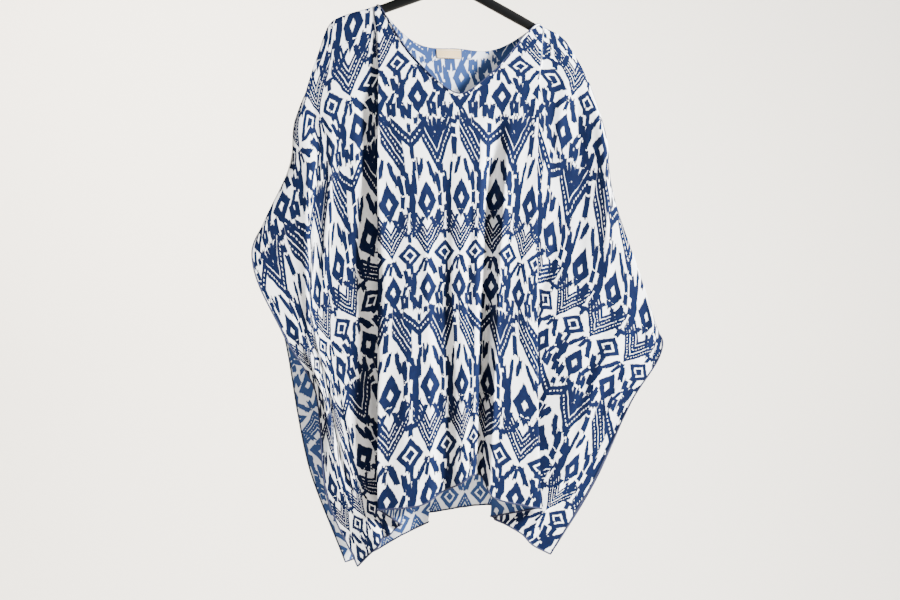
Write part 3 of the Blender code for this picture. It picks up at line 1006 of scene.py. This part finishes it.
# The creases of each panel, from the shoulder to the hem, as they show in the photograph in front and
# as such cloth falls behind.
# Columns: across and down at the top, across and down at the end, width, rise
FRONT_CREASES = tuple(starmap(Crease, (
    (-160, 90, -176, 330, 13, -8),
    (-176, 230, -300, 700, 14, -10),
    (-262, 560, -372, 820, 15, -7),
    (-133, 130, -137, 820, 8, 5.5),
    (83, 160, 80, 820, 12, -15),
    (84, 380, 80, 820, 11, -8),
    (107, 160, 106, 820, 7, 8),
    (206, 120, 262, 560, 12, -6),
    (258, 480, 340, 800, 12, -6),
    (166, 180, 186, 820, 7, 2.4),
    (-250, 60, -372, 330, 9, -3.8),
    (-205, 40, -330, 420, 13, 4.2),
    (-165, 40, -205, 560, 8, -3.5),
    (-190, 150, -262, 760, 11, 3.8),
    (-232, 330, -300, 820, 9, -3.2),
    (-300, 90, -440, 420, 14, 3.5),
    (-330, 470, -350, 820, 10, 3.2),
    (-420, 330, -400, 760, 12, -3.8),
    (-455, 260, -450, 560, 10, 3.5),
    (-105, 30, -98, 520, 6, -1.9),
    (-88, 330, -92, 820, 8, 3.5),
    (-52, 250, -46, 820, 7, 3.8),
    (-38, 420, -30, 820, 6, -2.9),
    (2, 270, 4, 820, 8, 3.8),
    (42, 230, 44, 820, 6.5, -3.8),
    (60, 200, 66, 820, 5, 3.2),
    (101, 170, 103, 820, 6, 2.6),
    (136, 120, 150, 700, 7, -2.2),
    (212, 40, 238, 520, 9, 4.2),
    (232, 70, 330, 470, 9, -4.2),
    (262, 60, 392, 420, 12, 4.5),
    (290, 250, 345, 820, 10, 3.5),
    (315, 420, 372, 820, 8, -3.2),
    (352, 250, 420, 640, 12, -4.2),
    (400, 300, 440, 820, 11, 3.8),
    (448, 260, 462, 620, 9, 3.8),
)))
BACK_CREASES = tuple(starmap(Crease, (
    (-250, 60, -380, 420, 12, 4.2),
    (-200, 50, -300, 620, 10, -3.8),
    (-330, 160, -420, 520, 13, -3.8),
    (-290, 330, -330, 860, 11, 3.8),
    (-420, 330, -400, 800, 12, 3.8),
    (-95, 60, -96, 640, 8, 3.8),
    (-70, 260, -60, 860, 8, -3.5),
    (-34, 200, -30, 860, 9, 4.2),
    (0, 380, -6, 860, 8, -3.5),
    (34, 170, 40, 860, 9, 3.8),
    (74, 300, 70, 860, 8, 4.2),
    (110, 120, 104, 720, 8, -3.5),
    (240, 60, 262, 620, 10, 3.8),
    (270, 90, 400, 420, 12, -3.8),
    (300, 260, 350, 860, 11, 3.5),
    (380, 300, 420, 820, 12, -3.5),
    (440, 250, 455, 700, 10, 3.8),
)))


@dataclass
class Panel:
    """One rectangle of the cloth as it hangs, front or back.

    lines are its fold lines, sections the distances down the cloth that they name, drop the length
    to the hem, and side is -1 for the front and 1 for the back.
    """

    lines: tuple
    sections: np.ndarray
    drop: float
    side: int
    neck_depth: float
    neck_power: float
    creases: tuple
    knots: list = field(default_factory=list)
    copies: list = field(default_factory=list)

    def __post_init__(self) -> None:
        """Sets the fold lines out over the mesh columns, a turn line as two that stand apart."""
        thread, across, down, depth = (
            np.array([getattr(line, key) for line in self.lines], float)
            for key in ("thread", "across", "down", "depth")
        )
        on_arm = np.abs(thread[:, 0]) < ARM_LENGTH + SHOULDER_OVERHANG
        down[on_arm, 0] = arm_top(across[on_arm, 0])
        way = np.stack([np.gradient(across, axis=0), np.gradient(down, axis=0)])
        way *= TURN_SPREAD / np.hypot(way[0], way[1])
        column = 0
        for i, line in enumerate(self.lines):
            column += line.columns
            for copy in (-1, 1) if line.turn else (0,):
                column += 2 if copy == 1 else 0
                layer = depth[i] - 0.5 * copy * line.turn * np.array(line.gap)
                self.knots.append(column)
                self.copies.append(
                    (
                        thread[i],
                        across[i] + copy * way[0, i],
                        layer,
                        -(down[i] + copy * way[1, i]),
                    )
                )

    def neck_start(self, thread: np.ndarray) -> np.ndarray:
        """The neck edge's distance down the cloth: a rounded V, nought at the two neck points.

        Args:
            thread: Places across the flat cloth.

        Returns:
            The distance at each place.
        """
        reach = np.clip(np.abs(thread - NECK_CENTRE) / NECK_HALF_WIDTH, 0.0, 1.0)
        return self.neck_depth * (1.0 - reach**self.neck_power)

    def neck_span(self) -> tuple[float, float]:
        """The mesh columns of the two neck points.

        Returns:
            The left column and the right one.
        """
        names = [line.name for line in self.lines for _ in range(2 if line.turn else 1)]
        first = self.knots[names.index("left body edge") + 1]
        return first, self.knots[names.index("right body edge")]

    def crease(self, thread: np.ndarray, along: np.ndarray) -> np.ndarray:
        """How far the creases move the cloth out: a bell curve across each, faded at its ends.

        Args:
            thread: Places across the flat cloth.
            along: Places down it.

        Returns:
            The distance out at each place.
        """
        out = np.zeros_like(along)
        for fold in self.creases:
            t = (along - fold.down_top) / (fold.down_end - fold.down_top)
            middle = fold.thread_top + (fold.thread_end - fold.thread_top) * t
            start = np.clip(t / CREASE_FADE, 0.0, 1.0)
            end = np.clip((1.0 - t) / CREASE_FADE, 0.0, 1.0) if fold.down_end < self.drop else 1.0
            fade = (start * start * (3.0 - 2.0 * start)) * end
            fade = fade * (0.75 + 0.25 * np.sin(along / SWELL_RUN + fold.thread_top))
            out += fold.rise * fade * np.exp(-(((thread - middle) / fold.width) ** 2))
        ripple = np.sin(thread / RIPPLE_WIDTH + 0.8 * np.sin(along / RIPPLE_BEND))
        ripple = ripple * np.sin(along / RIPPLE_RUN + 1.0)
        grow = np.clip((along - RIPPLE_START) / RIPPLE_GROWTH, 0.0, 1.0)
        return out + RIPPLE_HEIGHT * grow * ripple

    def surface(self, tau: np.ndarray, at: np.ndarray) -> tuple[np.ndarray, np.ndarray]:
        """Points of the hanging cloth, and where each lies on the flat cloth.

        Across the cloth a smooth curve runs through the fold lines, and down the cloth through the
        sections; near the shoulder line each thread follows a quarter circle over the arm.

        Args:
            tau: Fractions of the way from the neck edge or shoulder line to the hem.
            at: Mesh columns.

        Returns:
            Points and flat places, each (rows, columns, 3 or 2), in millimetres.
        """
        table = monotone(self.knots, np.moveaxis(np.array(self.copies), 0, -1), at)
        start = self.neck_start(table[0, 0])
        along = start + (self.drop - start) * tau[:, None]
        radius = np.abs(table[2, 0])
        bend = np.minimum(along / radius, 0.5 * np.pi)
        quarter = 0.5 * np.pi * radius
        fallen = np.where(along < quarter, radius * (1 - np.cos(bend)), along - quarter + radius)
        columns = [
            monotone(self.sections, table[:, :, i], fallen[:, i]) for i in range(table.shape[2])
        ]
        values = np.stack(columns, axis=-1)
        thread = values[0]
        away = np.clip(along / CREASE_START, 0.0, 1.0)
        depth = (values[2] + self.side * away * self.crease(thread, along)) * np.sin(bend)
        points = np.stack([values[1], depth, values[3]], axis=-1)
        down = along - PRINT_START if self.side < 0 else -PRINT_START - along
        return points, np.stack([thread, down], axis=-1)


def row_fractions(rows: int) -> np.ndarray:
    """Rows of a panel: close together over the shoulder, then even down to the hem.

    Args:
        rows: How many rows there are.

    Returns:
        Each row's fraction of the way to the hem.
    """
    over_arm = np.linspace(0.0, 0.03, 12)
    return np.concatenate([over_arm, np.linspace(0.036, 1.0, rows - len(over_arm))])


def outward(points: np.ndarray, side: int) -> np.ndarray:
    """The unit normals of a grid of points: the product of its two directions, made one long.

    Args:
        points: The grid of points.
        side: -1 for the front panel and 1 for the back.

    Returns:
        The normals, on the panel's outer side.
    """
    normal = np.cross(np.gradient(points, axis=0), np.gradient(points, axis=1))
    normal /= np.linalg.norm(normal, axis=-1, keepdims=True) + 1e-9
    return normal * side * np.where(normal[..., 1:2] < 0.0, -1.0, 1.0)


@dataclass
class Blouse:
    """The cloth of the blouse: two printed panels, the neck's turned edge, rolled hems and a label."""

    rows: int = 168
    steps_per_column: float = 3.4
    band_width: float = 6.5
    band_lift: float = 0.7
    label_height: float = 15.0
    label_place: float = 0.45
    label_columns: float = 2.7
    label_drop: float = 1.5
    label_lift: float = 1.5
    print_cloth: bpy.types.Material | None = None
    thread: bpy.types.Material | None = None
    tape: bpy.types.Material | None = None
    stitch: bpy.types.Material | None = None

    def build(self) -> None:
        """Builds both panels with their edges, then the label."""
        self.print_cloth = IkatPrint("printed voile, blue on white").build()
        self.thread = HEM_THREAD.material()
        self.tape = LABEL_TAPE.material()
        self.stitch = LABEL_STITCH.material()
        front = Panel(
            FRONT_LINES, FRONT_SECTIONS, FRONT_DROP, -1, FRONT_NECK_DEPTH, FRONT_NECK_POWER, FRONT_CREASES
        )
        back = Panel(
            BACK_LINES, BACK_SECTIONS, BACK_DROP, 1, BACK_NECK_DEPTH, BACK_NECK_POWER, BACK_CREASES
        )
        self.panel("front", front)
        self.panel("back", back)
        self.label(back)

    def panel(self, name: str, panel: Panel) -> None:
        """Builds a panel with its neck band and rolled edges.

        Args:
            name: The word for the panel, front or back.
            panel: Its hanging form.
        """
        tau = row_fractions(self.rows)
        at = np.linspace(0.0, panel.knots[-1], int(panel.knots[-1] * self.steps_per_column))
        points, flat = panel.surface(tau, at)
        faces = grid_faces(len(tau), len(at), panel.side > 0)
        cloth = mesh_object(f"{name}_cloth", points.reshape(-1, 3), faces, self.print_cloth)
        set_uv(cloth, flat)
        trims = [self.neck_band(name, panel)]
        edge = np.concatenate([points[8:, 0], points[-1, 1:-1], points[8:, -1][::-1]])
        trims.append(tube(f"{name}_rolled_hem", edge, HEM_RADIUS, self.thread))
        first, last = panel.neck_span()
        neck, _ = panel.surface(np.array([0.0005, 0.001]), np.linspace(first, last, 140))
        neck = neck[0] + outward(neck, panel.side)[0] * self.band_lift
        trims.append(tube(f"{name}_neck_roll", neck, NECK_ROLL_RADIUS, self.thread))
        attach(cloth, "root")
        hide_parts(f"{name}_panel")
        for trim in trims:
            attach(trim, "root")
        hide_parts(f"neck_band_{name}")

    def neck_band(self, name: str, panel: Panel) -> bpy.types.Object:
        """The narrow turned edge along the neck, lying on the panel's outer side.

        Args:
            name: The word for the panel.
            panel: Its hanging form.

        Returns:
            The edge.
        """
        first, last = panel.neck_span()
        at = np.linspace(first + 0.2, last - 0.2, 150)
        tau = np.linspace(0.0, 1.0, 6) * self.band_width / panel.drop
        points, flat = panel.surface(tau, at)
        lift = self.band_lift * np.sin(np.pi * np.linspace(0.12, 0.95, 6))[:, None, None]
        points = points + outward(points, panel.side) * lift
        band = mesh_object(
            f"{name}_neck_edge",
            points.reshape(-1, 3),
            grid_faces(6, 150, panel.side > 0),
            self.print_cloth,
        )
        set_uv(band, flat + [11.0, 96.0])
        return band

    def label(self, panel: Panel) -> None:
        """The small bare label inside the back of the neck, with a stitch along its top and bottom.

        Args:
            panel: The back panel's hanging form.
        """
        first, last = panel.neck_span()
        middle = first + self.label_place * (last - first)
        half = 0.5 * self.label_columns
        at = np.linspace(middle - half, middle + half, 24)
        tau = (self.label_drop + np.linspace(0.0, self.label_height, 10)) / panel.drop
        points, _ = panel.surface(tau, at)
        points[..., 1] -= self.label_lift + 0.35 * np.sin(np.linspace(0.0, 5.0, 24))
        label = mesh_object("bare_label", points.reshape(-1, 3), grid_faces(10, 24, False), self.tape)
        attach(label, "root")
        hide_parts("neck_label")
        for name, row in (("top", 1), ("bottom", 8)):
            stitch = tube(f"label_stitch_{name}", points[row] - [0.0, 0.35, 0.0], 0.25, self.stitch, 5)
            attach(stitch, "root")


@dataclass
class Hanger:
    """The plain black moulded hanger: two sloping arms, a stem and a hook like a question mark."""

    blend: float = 14.0
    end_rounding: float = 12.0
    hook_start: float = -40.0
    hook_end: float = 205.0

    def sweep(
        self, path: np.ndarray, depth: np.ndarray, height: np.ndarray, sides: int
    ) -> tuple[np.ndarray, np.ndarray]:
        """The rounded section carried along a path in the XZ plane.

        Args:
            path: The path's points, (n, 2), in millimetres.
            depth: The section's size along Y at each point.
            height: Its size across the path at each point.
            sides: How many points a ring has.

        Returns:
            The points and the faces.
        """
        way = np.gradient(path, axis=0)
        way /= np.linalg.norm(way, axis=1, keepdims=True)
        across = np.stack([-way[:, 1], way[:, 0]], axis=1)
        angle = np.linspace(0.0, 2.0 * np.pi, sides, endpoint=False)
        out = np.sign(np.cos(angle)) * np.abs(np.cos(angle)) ** 0.6
        up = np.sign(np.sin(angle)) * np.abs(np.sin(angle)) ** 0.6
        rings = np.empty((len(path), sides, 3))
        rings[..., 0] = path[:, None, 0] + across[:, None, 0] * up * 0.5 * height[:, None]
        rings[..., 1] = out * 0.5 * depth[:, None]
        rings[..., 2] = path[:, None, 1] + across[:, None, 1] * up * 0.5 * height[:, None]
        return rings.reshape(-1, 3), ring_faces(len(path), sides)

    def build(self) -> None:
        """Builds the arms and the hook as one piece, leaning as it hangs on the rail."""
        reach = np.linspace(-ARM_LENGTH, ARM_LENGTH, 161)
        fall = np.sqrt(reach**2 + self.blend**2) * math.sin(ARM_SLOPE)
        arms = np.stack([reach * math.cos(ARM_SLOPE), -ARM_MEET_DROP - fall], axis=1)
        end = np.clip((ARM_LENGTH - np.abs(reach)) / self.end_rounding, 0.0, 1.0)
        rounding = 0.1 + 0.9 * np.sqrt(1.0 - (1.0 - end) ** 2)
        taper = np.abs(reach) / ARM_LENGTH
        height = (ARM_HEIGHT + (ARM_END_HEIGHT - ARM_HEIGHT) * taper**4) * rounding
        points, faces = self.sweep(arms, ARM_DEPTH * rounding, height, 32)

        radius = HOOK_INNER_RADIUS + 0.5 * HOOK_THICKNESS
        join = math.radians(self.hook_start)
        turn = np.radians(np.linspace(self.hook_start, self.hook_end, 90))
        ring = np.stack([radius * np.cos(turn), radius * np.sin(turn) - HOOK_INNER_RADIUS], axis=1)
        foot = np.array([0.0, arms[80, 1] + 2.0])
        controls = [
            foot,
            foot + [0.0, 18.0],
            ring[0] - 15.0 * np.array([-math.sin(join), math.cos(join)]),
            ring[0],
        ]
        t = np.linspace(0.0, 1.0, 33)[:-1, None]
        stem = (
            (1 - t) ** 3 * controls[0]
            + 3 * (1 - t) ** 2 * t * controls[1]
            + 3 * (1 - t) * t**2 * controls[2]
            + t**3 * controls[3]
        )
        path = np.concatenate([stem, ring])
        size = np.full(len(path), HOOK_THICKNESS)
        size[:12] += 3.0 * np.linspace(1.0, 0.0, 12) ** 2
        size[-6:] *= np.sqrt(1.0 - np.linspace(0.0, 0.98, 6) ** 2)
        hook, hook_faces = self.sweep(path, size, size, 24)
        both = np.concatenate([points, hook])
        turned = both.copy()
        turned[:, 0] = both[:, 0] * math.cos(LEAN) + both[:, 2] * math.sin(LEAN)
        turned[:, 2] = both[:, 2] * math.cos(LEAN) - both[:, 0] * math.sin(LEAN)
        faces = np.concatenate([faces, hook_faces + len(points)])
        hanger = mesh_object("moulded_hanger", turned, faces, HANGER_PLASTIC.material())
        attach(hanger, "root")
        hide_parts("hanger")


@dataclass
class Studio:
    """The pale wall and floor, the soft lights and the camera of the photograph."""

    floor_level: float = -2.0
    wall_place: float = 3.4
    half_width: float = 9.0
    near_edge: float = -9.0
    wall_height: float = 6.0
    bend: float = 1.2

    def build(self) -> None:
        """Sets the room, the lights and the camera."""
        self.sweep_wall()
        self.world()
        middle = (0.0, 0.0, -0.55)
        self.area_light("key", (2.5, -1.3, 0.7), middle, 0.5, 900.0, "#F8FBFF")
        self.area_light("fill", (-2.0, -2.2, 0.5), middle, 1.4, 18.0, "#F0F6FF")
        self.area_light("wall light", (-1.7, 1.0, 1.0), (-1.7, 3.4, -0.2), 1.6, 250.0, "#FFF8EE")
        self.area_light("low wall light", (-0.2, 1.1, -0.4), (-0.2, 3.4, -1.6), 1.6, 60.0, "#FAFFF8")
        self.camera()

    def sweep_wall(self) -> None:
        """A floor that curves up into a wall: a quarter circle joins the two."""
        angle = np.linspace(0.0, 0.5 * np.pi, 24)
        curve = self.wall_place - self.bend + self.bend * np.sin(angle)
        y = np.concatenate([[self.near_edge], curve, [self.wall_place]])
        rise = self.bend - self.bend * np.cos(angle)
        z = np.concatenate([[0.0], rise, [self.wall_height]]) + self.floor_level
        x = np.array([-self.half_width, self.half_width])
        points = np.empty((len(y), 2, 3))
        points[..., 0] = x
        points[..., 1] = y[:, None]
        points[..., 2] = z[:, None]
        wall = mesh_object(
            "pale_wall", points.reshape(-1, 3) / MM, grid_faces(len(y), 2, True), WALL_PAINT.material()
        )

    def world(self) -> None:
        """A soft pale light from all round."""
        world = bpy.data.worlds.new("soft room light")
        world.use_nodes = True
        tree = world.node_tree
        tree.nodes.clear()
        light = add_node(
            tree, "ShaderNodeBackground", {"Color": linear("#F4F3F2"), "Strength": 0.12}
        )
        output = add_node(tree, "ShaderNodeOutputWorld")
        tree.links.new(light.outputs[0], output.inputs["Surface"])
        bpy.context.scene.world = world

    def area_light(
        self, name: str, place: tuple, target: tuple, size: float, power: float, colour: str
    ) -> None:
        """Adds a square soft light.

        Args:
            name: The light's name.
            place: Where it stands, in metres.
            target: The place that it faces.
            size: Its width.
            power: Its power, in watts.
            colour: Its colour, as sRGB hex.
        """
        light = bpy.data.lights.new(name, "AREA")
        light.size = size
        light.energy = power
        light.color = linear(colour)[:3]
        lamp = bpy.data.objects.new(name, light)
        lamp.location = place
        towards = Vector(target) - Vector(place)
        lamp.rotation_euler = towards.to_track_quat("-Z", "Y").to_euler()
        bpy.context.scene.collection.objects.link(lamp)

    def camera(self) -> None:
        """The photograph's camera: level, in front, with the photo's scale at the hanger's plane."""
        data = bpy.data.cameras.new("photo camera")
        data.sensor_width = 36.0
        data.lens = 36.0 * CAMERA_DISTANCE / (IMAGE_WIDTH * MM_PER_PIXEL * MM)
        camera = bpy.data.objects.new("photo camera", data)
        x = (0.5 * IMAGE_WIDTH - ORIGIN_PIXEL[0]) * MM_PER_PIXEL * MM
        z = (ORIGIN_PIXEL[1] - 0.5 * IMAGE_HEIGHT) * MM_PER_PIXEL * MM
        camera.location = (x, -CAMERA_DISTANCE, z)
        camera.rotation_euler = (math.radians(90.0), 0.0, 0.0)
        bpy.context.scene.collection.objects.link(camera)
        bpy.context.scene.camera = camera


# Rolled hem, overlocked in dark navy thread
HEM_THREAD = Finish("navy hem thread", "#0C1436", Roughness.THREAD.value, grain=0.6, grain_size=1800.0)
# Satin label tape, unbleached
LABEL_TAPE = Finish("cream satin tape", "#C9AE80", Roughness.TAPE.value, grain=0.3, grain_size=2200.0)
# Sewing thread that holds the label
LABEL_STITCH = Finish("white sewing thread", "#EFEBE4", Roughness.THREAD.value)
# Hanger, black polypropylene with a fine moulded grain
HANGER_PLASTIC = Finish("black moulded plastic", "#020202", Roughness.PLASTIC.value, 0.2, grain=0.15)
# Wall and floor, warm grey-white paint
WALL_PAINT = Finish("pale warm wall paint", "#ECE5DA", Roughness.WALL.value)


def main() -> None:
    """Builds the blouse, its hanger and the studio, in that order."""
    logging.basicConfig(level=logging.INFO, format="%(name)s: %(message)s")
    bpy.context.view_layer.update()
    Blouse().build()
    logger.info("cloth, edges and label built")
    Hanger().build()
    logger.info("hanger built")
    Studio().build()
    logger.info("wall, lights and camera set")


if __name__ == "__main__":
    main()
